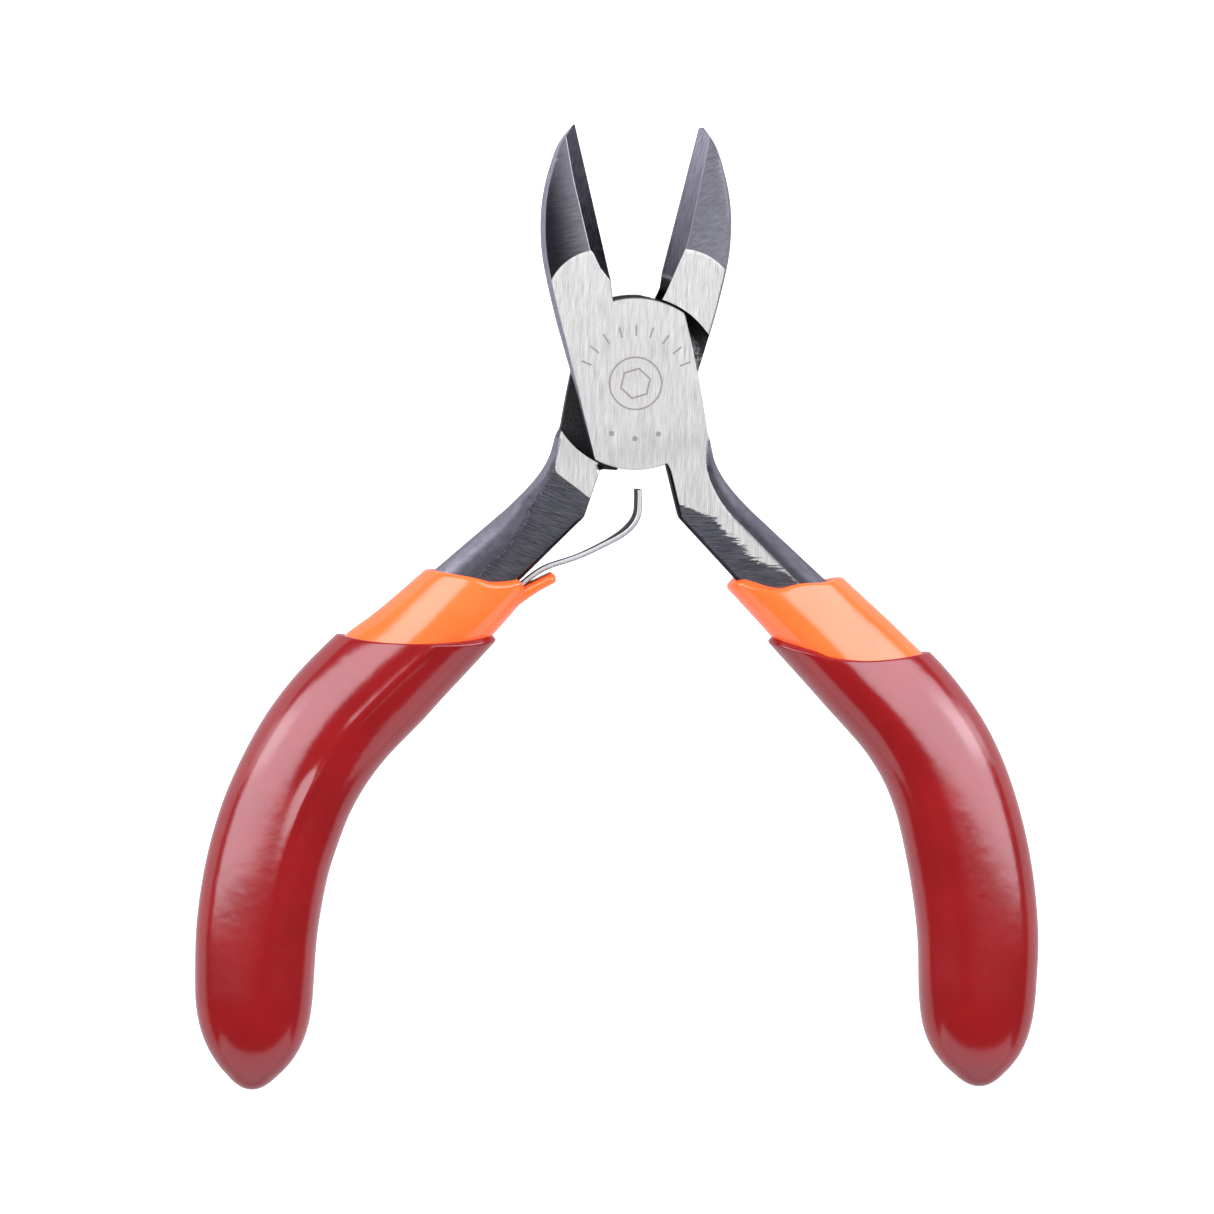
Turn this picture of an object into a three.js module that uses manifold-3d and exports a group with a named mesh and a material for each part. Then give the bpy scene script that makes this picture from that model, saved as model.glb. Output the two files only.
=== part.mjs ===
// Diagonal cutting pliers with a lap joint, a leaf return spring and two-colour dipped handles.
// Units are millimetres, +Z is up. The pliers lie on their back face with the jaws towards +Y.
// The origin is on the pivot axis, in the back face of the joint.
// Each lever is designed in its own closed frame: the cutting edge lies on x = 0, the jaw is on the
// -x side and the handle on the +x side. The rear lever is the same forging turned over about Y.

import * as THREE from 'three';
import { mergeVertices } from 'three/addons/utils/BufferGeometryUtils.js';
import Module from 'manifold-3d';

const wasm = await Module();
wasm.setup();

// ---------- driving dimensions ----------

const headThickness = 8;
const midPlane = headThickness / 2;
const restTurn = THREE.MathUtils.degToRad( 13.5 ); // each lever, from closed to the rest position

const discRadius = 9.62; // round half-thickness plate of each lever
const plateFootX = - 6.3; // where the jaw's back runs into the plate's rim, below the pivot
const tangRootX = 4.5; // inside the tang, where the plate's rim ends
const shoulder = { x: 7.05, y: 6.54 }; // where the plate's side meets its rim, above the pivot
const notchWidth = 0.4; // the rim ends this far past the cutting plane
const shoulderGap = 0.15; // between a plate's rim and the other lever's shoulder
const lapGap = 0.1; // between the two plates
const edgeGap = 0.03; // each cutting edge stops this far short of the other at closing

const jawLength = 29.4;
const edgeStart = 11.9; // y where the cutting edge begins, above the joint
const jawBoss = 15.5; // the jaw keeps its full thickness within this radius
const tipThickness = 4.4;
const bevelWidth = 1.5; // plan width of the ground facet beside the cutting edge
const overcut = 1.5; // the bevel's cutter reaches past the face by this factor

const rivetShank = 2.6; // radius
const rivetHead = 3.5; // radius, at the ground face
const rivetHeadDepth = 1;
const rivetClearance = 0.06; // radial

const tangThickness = 6.4; // at the end of the bare part
const tangStart = - 8; // y where the tang begins to thin
const tangChamfer = 1.3;
const tangEnd = - 23.5; // y where the bare tang goes into its sleeve
const coreHalfWidth = 3.35;
const coreRelief = 0.1; // the hidden core is this much thinner than the tang, on each face
const coreTaper = 0.72; // the hidden core's size at its tip, as a share of its size at the sleeve
const coreEnd = 0.93; // share of the handle's centre line where the core ends

const sleeveThickness = 8.6;
const gripThickness = 10.4;
const sleeveInset = 0.7; // the outer grip's surface stands this far outside the sleeve's
const layerGap = 0.3; // between steel, inner sleeve and outer grip
const sleeveEnd = 0.975; // share of the centre line where the sleeve ends
const cavityEnd = 0.98; // and where the cavity of the grip around it ends
const tipHalfSize = 0.3; // a layer closes to this before it comes to its point

const springThickness = 0.6;
const springDepth = 3.4;
const springLipHalfDepth = 2.4;

// The forgings are alike, but the handles are bent and dipped a little differently. Each dipped
// layer ends on a slanting line: its height at x = 0 and its slope. dipShift slides the layers.
const frontFit = {
	splay: THREE.MathUtils.degToRad( - 0.7 ),
	dipShift: 1.05,
	sleeveEdge: { y: - 22.9, slope: - 0.2 },
	gripEdge: { y: - 29.05, slope: - 0.33 },
};
const rearFit = {
	splay: THREE.MathUtils.degToRad( 0.7 ),
	dipShift: - 1.05,
	sleeveEdge: { y: - 23.4, slope: - 0.12 },
	gripEdge: { y: - 29.85, slope: - 0.19 },
};

// Centre line of the covered handle in the closed frame: x, y and half width of the outer surface.
const handleStations = [
	[ 8.3, - 20.4, 5.3 ],
	[ 14.3, - 30.3, 5.95 ],
	[ 18.8, - 37.6, 6.35 ],
	[ 22.9, - 44.8, 6.5 ],
	[ 24.95, - 52, 6.5 ],
	[ 25.45, - 60, 6.7 ],
	[ 24.9, - 68, 6.68 ],
	[ 23.4, - 75.5, 6.5 ],
	[ 20.5, - 86.2, 6 ],
];
const handleLength = 70;
const tipStart = 0.89; // share of the centre line where the grip begins to close to its tip
const tipFullness = { along: 2.1, across: 0.66 }; // powers that round the tip off
const tipFlatness = { share: 0.25, power: 0.2 }; // the tip closes in thickness less than in width
const tipLimit = 0.997; // the last ring stays just short of the tip, so it keeps some size

// ---------- helpers: closed meshes and booleans ----------

function toSolid( geometry ) {

	const bare = geometry.index ? geometry.toNonIndexed() : geometry.clone();
	bare.deleteAttribute( 'normal' );
	bare.deleteAttribute( 'uv' );
	const merged = mergeVertices( bare, 1e-4 );
	const corners = merged.index.array;
	const kept = [];
	for ( let i = 0; i < corners.length; i += 3 ) {

		const [ a, b, c ] = corners.slice( i, i + 3 );
		if ( a !== b && b !== c && c !== a ) kept.push( a, b, c );

	}

	return new wasm.Manifold( new wasm.Mesh( {
		numProp: 3,
		vertProperties: new Float32Array( merged.attributes.position.array ),
		triVerts: new Uint32Array( kept ),
	} ) );

}

function toGeometry( solid ) {

	const mesh = solid.getMesh();
	const geometry = new THREE.BufferGeometry();
	geometry.setAttribute( 'position', new THREE.BufferAttribute( mesh.vertProperties, 3 ) );
	geometry.setIndex( new THREE.BufferAttribute( mesh.triVerts, 1 ) );
	geometry.computeVertexNormals();
	return geometry;

}

function reshape( geometry, move ) {

	const position = geometry.attributes.position;
	const point = new THREE.Vector3();
	for ( let i = 0; i < position.count; i ++ ) {

		point.fromBufferAttribute( position, i );
		move( point );
		position.setXYZ( i, point.x, point.y, point.z );

	}

	return geometry;

}

function plate( shape, bottom, top, chamfer = 0 ) {

	const geometry = new THREE.ExtrudeGeometry( shape, {
		depth: top - bottom - 2 * chamfer,
		curveSegments: 10,
		bevelEnabled: chamfer > 0,
		bevelThickness: chamfer,
		bevelSize: chamfer,
		bevelOffset: - chamfer,
		bevelSegments: 1,
	} );
	return geometry.translate( 0, 0, bottom + chamfer );

}

function turned( profile, segments = 72 ) {

	const points = profile.map( ( [ radius, z ] ) => new THREE.Vector2( radius, z ) );
	return new THREE.LatheGeometry( points, segments ).rotateX( Math.PI / 2 );

}

function box( low, high ) {

	const size = high.map( ( value, i ) => value - low[ i ] );
	const centre = high.map( ( value, i ) => ( value + low[ i ] ) / 2 );
	return new THREE.BoxGeometry( ...size ).translate( ...centre );

}

// ---------- the head: jaw, plate and lap ----------

function headShape() {

	const plateFoot = new THREE.Vector2( plateFootX, - Math.sqrt( discRadius ** 2 - plateFootX ** 2 ) );
	const shape = new THREE.Shape();
	shape.moveTo( - edgeGap, jawLength - 0.3 );
	shape.lineTo( - 0.5, jawLength );
	shape.splineThru( [
		new THREE.Vector2( - 2.43, 27.7 ),
		new THREE.Vector2( - 4.1, 25 ),
		new THREE.Vector2( - 5.4, 22.25 ),
		new THREE.Vector2( - 6.27, 19.4 ),
		new THREE.Vector2( - 6.8, 16.4 ),
		new THREE.Vector2( - 6.96, 13.4 ),
		new THREE.Vector2( - 6.95, 9.25 ),
		new THREE.Vector2( - 6.75, 4.5 ),
		new THREE.Vector2( - 6.5, 0 ),
		plateFoot,
	] );
	const footAngle = Math.atan2( plateFoot.y, plateFoot.x );
	const rootAngle = - Math.acos( tangRootX / discRadius );
	shape.absarc( 0, 0, discRadius, footAngle, rootAngle, false );
	shape.lineTo( 6.6, - 7 );
	shape.quadraticCurveTo( 7.2, 0, shoulder.x, shoulder.y );
	const shoulderAngle = Math.atan2( shoulder.y, shoulder.x );
	const notchAngle = Math.PI / 2 + notchWidth / discRadius;
	shape.absarc( 0, 0, discRadius, shoulderAngle, notchAngle, false );
	shape.lineTo( - edgeGap - 0.1, edgeStart );
	shape.closePath();
	return shape;

}

// Everything above this surface is ground away: it starts at the boss and falls towards the tip.
function jawRelief() {

	const drop = ( headThickness - tipThickness ) / 2;
	const slope = drop / ( jawLength - jawBoss );
	const reach = jawLength + 3;
	const top = headThickness + 1;
	return turned( [
		[ jawBoss, headThickness ],
		[ reach, headThickness - slope * ( reach - jawBoss ) ],
		[ reach, top ],
		[ jawBoss, top ],
		[ jawBoss, headThickness ],
	] );

}

// Wedge beside the cutting edge, from the mid plane out through the face. It thins with the jaw.
function edgeBevel() {

	const rise = midPlane;
	const section = new THREE.Shape();
	section.moveTo( 0, 0 );
	section.lineTo( 1, 0 );
	section.lineTo( 1, overcut * rise );
	section.lineTo( - overcut * bevelWidth, overcut * rise );
	section.closePath();
	const length = jawLength + 1 - edgeStart;
	const wedge = new THREE.ExtrudeGeometry( section, { depth: length, steps: 6, bevelEnabled: false } );
	wedge.rotateX( Math.PI / 2 ).translate( 0, jawLength + 1, 0 );
	const tipShare = tipThickness / headThickness;
	return reshape( wedge, ( point ) => {

		const along = THREE.MathUtils.clamp( ( point.y - jawBoss ) / ( jawLength - jawBoss ), 0, 1 );
		point.z = midPlane + point.z * THREE.MathUtils.lerp( 1, tipShare, along );
		point.x -= edgeGap;

	} );

}

function mirrored( solid ) {

	return solid.mirror( [ 0, 0, 1 ] ).translate( [ 0, 0, headThickness ] );

}

// ---------- the bare tang ----------

function tangShape() {

	const shape = new THREE.Shape();
	shape.moveTo( 1.55, - 8.6 );
	shape.lineTo( 1.7, - 15.9 );
	shape.lineTo( 6.15, tangEnd );
	shape.lineTo( 14.4, tangEnd );
	shape.lineTo( 9.87, - 16.95 );
	shape.quadraticCurveTo( 6.75, - 12.3, 6.8, - 9.6 );
	shape.lineTo( 6.8, - 6.2 );
	shape.closePath();
	return shape;

}

function tang( splay ) {

	const blank = plate( tangShape(), 0, headThickness, tangChamfer );
	reshape( blank, ( point ) => {

		const along = ( point.y - tangStart ) / ( tangEnd - tangStart );
		const share = 1 - Math.max( along, 0 ) * ( 1 - tangThickness / headThickness );
		point.z = midPlane + ( point.z - midPlane ) * share;

	} );
	return blank.rotateZ( splay );

}

// ---------- bodies bent along the handle ----------

function handlePath( fit ) {

	const shift = fit.dipShift;
	const stations = handleStations.map( ( [ x, y, halfWidth ], i ) => {

		const share = i === 0 ? 0 : 1;
		return new THREE.Vector3( x - 0.1 * shift * share, y + shift * share, halfWidth );

	} );
	return new THREE.CatmullRomCurve3( stations );

}

// A turned blank, squared a little and laid along the path. size( share ) gives its half width and
// half thickness there; the ends close to points on the path.
function bent( path, from, to, size, { rings = 22, sides = 24, squareness = 2.6 } = {} ) {

	const profile = [ new THREE.Vector2( 0, from ) ];
	for ( let i = 0; i <= rings; i ++ ) {

		const crowded = 1 - ( 1 - i / ( rings + 1 ) ) ** 1.7; // rings draw together towards the tip
		profile.push( new THREE.Vector2( 1, THREE.MathUtils.lerp( from, to, crowded ) ) );

	}

	profile.push( new THREE.Vector2( 0, to ) );
	const blank = new THREE.LatheGeometry( profile, sides );
	const closed = ( value ) => ( Math.abs( value ) < 1e-9 ? 0 : value ); // the seam meets exactly
	const squared = ( value ) => Math.sign( value ) * Math.abs( closed( value ) ) ** ( 2 / squareness );
	const tangent = new THREE.Vector2();
	return reshape( blank, ( point ) => {

		const share = point.y;
		const spot = path.getPoint( share );
		const ahead = path.getPoint( Math.min( share + 0.004, 1 ) );
		const behind = path.getPoint( Math.max( share - 0.004, 0 ) );
		tangent.set( ahead.x - behind.x, ahead.y - behind.y ).normalize();
		const [ halfWidth, halfThickness ] = size( share, spot.z );
		const across = squared( point.x ) * halfWidth;
		const up = - squared( point.z ) * halfThickness;
		point.set( spot.x - tangent.y * across, spot.y + tangent.x * across, midPlane + up );

	} );

}

// How far the grip has closed at a share of its length: 1 on the straight part, 0 at the tip.
function tipClosing( share ) {

	const past = THREE.MathUtils.clamp( ( share - tipStart ) / ( 1 - tipStart ), 0, 1 );
	return ( 1 - past ** tipFullness.along ) ** tipFullness.across;

}

function layer( path, thickness, inset, end ) {

	const { share: flat, power } = tipFlatness;
	return bent( path, 0, end, ( share, halfWidth ) => {

		const closing = tipClosing( share / end * tipLimit );
		const thinning = ( flat + ( 1 - flat ) * closing ) * closing ** power;
		return [
			Math.max( halfWidth * closing - inset, tipHalfSize ),
			Math.max( thickness / 2 * thinning, tipHalfSize ),
		];

	} );

}

function core( path, clearance ) {

	return bent( path, 0, coreEnd + clearance / handleLength, ( share ) => {

		const taper = THREE.MathUtils.lerp( 1, coreTaper, share );
		const halfThickness = ( tangThickness / 2 - coreRelief ) * taper;
		return [ coreHalfWidth * taper + clearance, halfThickness + clearance ];

	}, { sides: 20, squareness: 5 } );

}

// Half space above a dipped layer's slanting end.
function above( edge ) {

	const reach = 40;
	const slab = box( [ - reach, 0, - reach ], [ reach, reach, reach ] );
	return slab.rotateZ( Math.atan( edge.slope ) ).translate( 0, edge.y, 0 );

}

// ---------- pieces of one lever ----------

function lever( fit ) {

	let head = toSolid( plate( headShape(), 0, headThickness ) );
	const relief = toSolid( jawRelief() );
	const bevel = toSolid( edgeBevel() );
	head = head.subtract( relief ).subtract( mirrored( relief ) );
	head = head.subtract( bevel ).subtract( mirrored( bevel ) );
	const handle = toSolid( tang( fit.splay ) );
	const hidden = toSolid( core( handlePath( fit ), 0 ).rotateZ( fit.splay ) );
	const lapRadius = discRadius + shoulderGap;
	const lapTop = midPlane + lapGap / 2;
	const lap = toSolid( turned( [ [ 0, - 1 ], [ lapRadius, - 1 ], [ lapRadius, lapTop ], [ 0, lapTop ] ], 96 ) );
	const bore = toSolid( rivetHole() );
	return toGeometry( head.add( handle ).add( hidden ).subtract( lap ).subtract( bore ) );

}

function innerSleeve( fit, withSpring ) {

	const path = handlePath( fit );
	const end = above( fit.sleeveEdge );
	let sleeve = toSolid( layer( path, sleeveThickness, sleeveInset, sleeveEnd ).rotateZ( fit.splay ) );
	sleeve = sleeve.subtract( toSolid( end.rotateZ( fit.splay ) ) );
	if ( withSpring ) sleeve = sleeve.add( toSolid( springLip() ) );
	sleeve = sleeve.subtract( toSolid( core( path, layerGap ).rotateZ( fit.splay ) ) );
	if ( withSpring ) sleeve = sleeve.subtract( toSolid( springStrip( layerGap ) ) );
	return toGeometry( sleeve );

}

function outerGrip( fit ) {

	const path = handlePath( fit );
	const cavity = layer( path, sleeveThickness + 2 * layerGap, sleeveInset - layerGap, cavityEnd );
	const end = above( fit.gripEdge );
	let grip = toSolid( layer( path, gripThickness, 0, 1 ) );
	grip = grip.subtract( toSolid( cavity ) ).subtract( toSolid( end ) );
	return toGeometry( grip ).rotateZ( fit.splay );

}

// ---------- pivot and spring ----------

function rivetProfile( clearance ) {

	const shank = rivetShank + clearance;
	const head = rivetHead + clearance;
	const neck = rivetHeadDepth + clearance;
	return [ [ head, 0 ], [ shank, neck ], [ shank, headThickness - neck ], [ head, headThickness ] ];

}

function rivet() {

	return turned( [ [ 0, 0 ], ...rivetProfile( 0 ), [ 0, headThickness ] ], 48 );

}

// The hole that the rivet fills, carried on past both faces.
function rivetHole() {

	const radius = rivetHead + rivetClearance;
	const under = [ [ 0, - 1 ], [ radius, - 1 ] ];
	const over = [ [ radius, headThickness + 1 ], [ 0, headThickness + 1 ] ];
	return turned( [ ...under, ...rivetProfile( rivetClearance ), ...over ], 48 );

}

// Centre line of the leaf spring, in the rear lever's closed frame, from its root to its free end.
const springLine = [
	[ 8.7, - 28.6 ],
	[ 7.35, - 26.2 ],
	[ 6.2, - 24.3 ],
	[ 4.48, - 22.43 ],
	[ 1.58, - 20.56 ],
	[ - 0.53, - 18.89 ],
	[ - 2.59, - 16.96 ],
	[ - 3.6, - 15.5 ],
	[ - 3.92, - 14.2 ],
	[ - 3.7, - 12.8 ],
	[ - 3.38, - 11.5 ],
];

function springStrip( clearance ) {

	const line = new THREE.SplineCurve( springLine.map( ( [ x, y ] ) => new THREE.Vector2( x, y ) ) );
	const steps = 36;
	const half = springThickness / 2 + clearance;
	const left = [];
	const right = [];
	for ( let i = 0; i <= steps; i ++ ) {

		const spot = line.getPoint( i / steps );
		const tangent = line.getTangent( i / steps );
		left.push( new THREE.Vector2( spot.x - tangent.y * half, spot.y + tangent.x * half ) );
		right.unshift( new THREE.Vector2( spot.x + tangent.y * half, spot.y - tangent.x * half ) );

	}

	const shape = new THREE.Shape( [ ...left, ...right ] );
	const halfDepth = springDepth / 2 + clearance;
	return plate( shape, midPlane - halfDepth, midPlane + halfDepth );

}

// Flattened lip of the dipped sleeve that carries the spring where it leaves the handle.
function springLip() {

	const line = new THREE.CatmullRomCurve3( [
		new THREE.Vector3( 9.2, - 28.6, 1 ),
		new THREE.Vector3( 6.9, - 26, 0.95 ),
		new THREE.Vector3( 5.1, - 24.15, 0.7 ),
		new THREE.Vector3( 3.2, - 22.75, 0.6 ),
	] );
	return bent( line, 0, 1, ( share, halfWidth ) => {

		const closing = ( 1 - share ** 6 ) ** 0.5 + 0.05;
		return [ halfWidth * closing, springLipHalfDepth * closing ];

	}, { rings: 10, sides: 16 } );

}

// ---------- assembly ----------

const steel = { color: 0xb9bbc0, roughness: 0.32, metalness: 1 };
const brightSteel = { color: 0xdadada, roughness: 0.2, metalness: 1 };
const orange = { color: 0xff8a45, roughness: 0.35, metalness: 0 };
const red = { color: 0x9c1c22, roughness: 0.28, metalness: 0 };

function piece( name, geometry, finish ) {

	const mesh = new THREE.Mesh( geometry, new THREE.MeshStandardMaterial( finish ) );
	mesh.name = name;
	return mesh;

}

const group = new THREE.Group();

const front = new THREE.Group();
front.rotation.z = restTurn;
front.add( piece( 'front_lever', lever( frontFit ), steel ) );
front.add( piece( 'right_inner_sleeve', innerSleeve( frontFit, false ), orange ) );
front.add( piece( 'right_outer_grip', outerGrip( frontFit ), red ) );
group.add( front );

const rear = new THREE.Group();
rear.rotation.z = - restTurn;
const turnedOver = new THREE.Group();
turnedOver.rotation.y = Math.PI;
turnedOver.position.z = headThickness;
turnedOver.add( piece( 'rear_lever', lever( rearFit ), steel ) );
turnedOver.add( piece( 'left_inner_sleeve', innerSleeve( rearFit, true ), orange ) );
turnedOver.add( piece( 'left_outer_grip', outerGrip( rearFit ), red ) );
turnedOver.add( piece( 'return_spring', springStrip( 0 ), brightSteel ) );
rear.add( turnedOver );
group.add( rear );

group.add( piece( 'pivot_rivet', rivet(), brightSteel ) );

export default group;
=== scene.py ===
"""Small diagonal cutting pliers: the fine surfaces, finishes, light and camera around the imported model.

Lengths are in millimetres until a mesh is written, which turns them into the frame's metres. Each
lever is drawn closed, with its cutting edge on x = 0, its jaw on the -x side and its handle on the
+x side, and is then turned to its place at rest. The rear lever is the same forging turned over.
"""

import math

import bmesh
import bpy
import numpy as np
from mathutils import Matrix, Vector
from mathutils.geometry import delaunay_2d_cdt


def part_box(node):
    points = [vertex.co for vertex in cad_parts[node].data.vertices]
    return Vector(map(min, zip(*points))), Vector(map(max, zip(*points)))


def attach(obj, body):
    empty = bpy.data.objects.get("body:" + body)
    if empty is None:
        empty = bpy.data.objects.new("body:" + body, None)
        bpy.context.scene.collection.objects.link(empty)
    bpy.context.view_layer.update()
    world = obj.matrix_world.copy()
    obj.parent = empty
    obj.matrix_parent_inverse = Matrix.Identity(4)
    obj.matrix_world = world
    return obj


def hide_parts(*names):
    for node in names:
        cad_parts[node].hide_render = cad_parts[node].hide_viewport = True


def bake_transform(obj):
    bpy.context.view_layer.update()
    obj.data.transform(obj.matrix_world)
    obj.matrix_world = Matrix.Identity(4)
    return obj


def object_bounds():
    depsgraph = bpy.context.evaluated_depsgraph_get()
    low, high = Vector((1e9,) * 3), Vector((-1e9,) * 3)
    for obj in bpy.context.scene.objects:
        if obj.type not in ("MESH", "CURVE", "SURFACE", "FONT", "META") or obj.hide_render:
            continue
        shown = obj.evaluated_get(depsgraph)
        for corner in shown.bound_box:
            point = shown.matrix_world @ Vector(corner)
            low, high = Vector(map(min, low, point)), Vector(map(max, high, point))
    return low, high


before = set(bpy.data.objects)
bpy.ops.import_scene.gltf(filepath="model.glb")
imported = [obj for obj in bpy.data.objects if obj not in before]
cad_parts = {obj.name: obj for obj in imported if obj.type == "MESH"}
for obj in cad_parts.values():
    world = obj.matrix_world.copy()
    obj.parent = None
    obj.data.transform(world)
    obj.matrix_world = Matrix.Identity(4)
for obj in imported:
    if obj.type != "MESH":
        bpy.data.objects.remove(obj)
cad_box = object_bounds()

MM = 0.001

# ---------- sizes ----------

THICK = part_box("pivot_rivet")[1].z / MM  # the joint, from face to face
MID = THICK / 2
REST_TURN = math.radians(13.5)  # each lever, from closed to rest
PLATE_RADIUS = 9.62
LAP_RADIUS = 9.77  # the shoulders that the other lever's plate turns inside
LAP_TOP = MID + 0.05
LAP_SKIN = 0.02  # a face this far outside LAP_RADIUS still belongs to the lap
BORE = 2.6
RIVET_HEAD = 3.56
RIVET_HEAD_DEPTH = 1.0
EDGE_GAP = 0.03
EDGE_LAND = 0.04  # half thickness of the blunt land along the cutting edge
JAW_SLOPE = 0.13  # the jaw's face falls this much per millimetre beyond the boss
TANG_ROOT = -8.0  # y where the tang starts to thin
TANG_END = -23.5
TANG_HALF = 3.2  # half thickness of the tang where it enters the sleeve
CORE_HALF = 2.3
CORE_HALF_WIDTH = 3.35
CORE_TAPER = 0.72
CORE_END = 0.93
CORE_START = -28.5  # y below which the hidden core has its own thickness
# Each dipped layer: where its lip is, its half height, how far its sides stand inside the grip's, its
# thickness and corner radius at the lip, and the share of the handle's length where it closes.
SLEEVE = {"lip_line": "sleeve_end", "half": 4.3, "inset": 0.7, "wall": 1.25, "lip": 0.45, "end": 0.975}
GRIP = {"lip_line": "grip_end", "half": 5.2, "inset": 0, "wall": 0.75, "lip": 0.3, "end": 1.0}
DIP_SIDES = 144
SQUARENESS = [(0, 2.7), (0.06, 2.6), (0.13, 2.1), (0.3, 2.05), (0.5, 2.25), (1, 2.25)]  # 2 is an ellipse
TIP_START = 0.87
RIB_PLACE = -1.35  # across the handle, a soft rib in the left handle's layers
RIB_WIDTH = 0.6
HANDLE_STEPS = 400
HANDLE_STATIONS = [  # centre line of the covered handle, and the grip's half width
    (8.3, -20.4, 5.3), (14.3, -30.3, 5.95), (18.8, -37.6, 6.35), (22.9, -44.8, 6.5), (24.95, -52, 6.5),
    (25.45, -60, 6.7), (24.9, -68, 6.68), (23.5, -75.5, 6.5), (21.3, -86.3, 6),
]

# What differs between the two levers. A table read along the lever has (y, width) rows: ridge is the
# ground bevel, side the rounded outer side, chamfer the tang's inner edge. Along the handle the rows
# are (share of its length, value): sway moves its middle, swell its half width, and wedge, fall and
# rib lean, drop and raise its top. The ends of the dipped layers are lines across the handle, as
# (x, y) points; ground_foot is the ragged lower border of the bright face on the tang.
# Painted light and shade in these tables: the tones of the forged sides and the draft, the bevel tones, the
# ridge line's brightness, and the side's overlap onto the face.
FRONT = {
    "name": "front_lever",
    "body": "front_half",
    "turned_over": False,
    "splay": math.radians(-0.7),
    "dip_shift": 1.05,
    "boss": ((-1.8, 9.3), 6.2),
    "ridge": [(29.4, 1.25), (28.3, 1.35), (24, 1.6), (15.6, 1.6), (15.2, 1.35), (13.4, 0.95), (11.9, 0.25)],
    "side": [(-26, 2.3), (-22.5, 2.17), (-20, 2.04), (-17, 1.9), (-14.3, 1.6), (-11, 1.05), (-8.9, 0.5),
             (-7, 0.1)],
    "sway": [(0, -0.12), (0.15, -0.2), (0.25, -0.09), (0.38, -0.09), (0.44, 0.06), (0.81, 0.07), (0.94, -0.2),
             (1, 0.1)],
    "swell": [(0, 0.03), (0.19, -0.1), (0.38, -0.05), (0.5, 0.13), (0.81, 0.12), (0.9, 0.08), (0.94, 0.3),
              (0.97, 0.5)],
    "wedge": [(0, 0.1), (0.08, 0.18), (0.25, 0.25), (0.5, 0.17), (0.65, 0.15), (0.88, 0.1), (1, 0)],
    "fall": [(0, 0), (1, 0)],
    "rib": [(0, 0), (1, 0)],
    "side_slope": 0.34,
    "chamfer": [(-9.4, 0.03), (-10.2, 0.28), (-15.6, 0.3), (-16.6, 0.4), (-28, 0.45)],
    "web": [],
    "plate_top": 9.52,
    "tip": [(-0.05, 29.4), (-0.22, 29.5), (-2.35, 27.75)],
    "side_softness": 0.25,
    "side_painted_sheen": (0.02, 0.17),
    "side_reach": (0.2, 0.95),
    "draft_painted_sheen": 0.32,
    "side_overlap": 0.12,
    "ragged": (0.25, 3.2),
    "ridge_painted_glint": 0.5,
    "bevel_painted_shades": ((0.065, 0.065, 0.073, 1), (0.12, 0.12, 0.132, 1)),
    "ground_foot": [(-1, -13), (1.68, -14.2), (3.5, -15.3), (5.3, -16.7), (6.1, -18.4), (7.5, -20.2),
                    (8.6, -21.9), (10.2, -23.1), (11.3, -23.9), (13, -26)],
    "sleeve_end": [(3.5, -24.9), (5.1, -24.6), (6.3, -24.25), (7.5, -24.7), (9, -25.4), (10.9, -25.85),
                   (13.2, -25.95), (15.7, -26.3), (17.5, -26.2), (20, -26.4)],
    "grip_end": [(7, -31.0), (8.9, -31.9), (12.5, -33.6), (14.2, -34.6), (17.7, -35.7), (21.4, -36.45),
                 (26, -37)],
}
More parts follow.
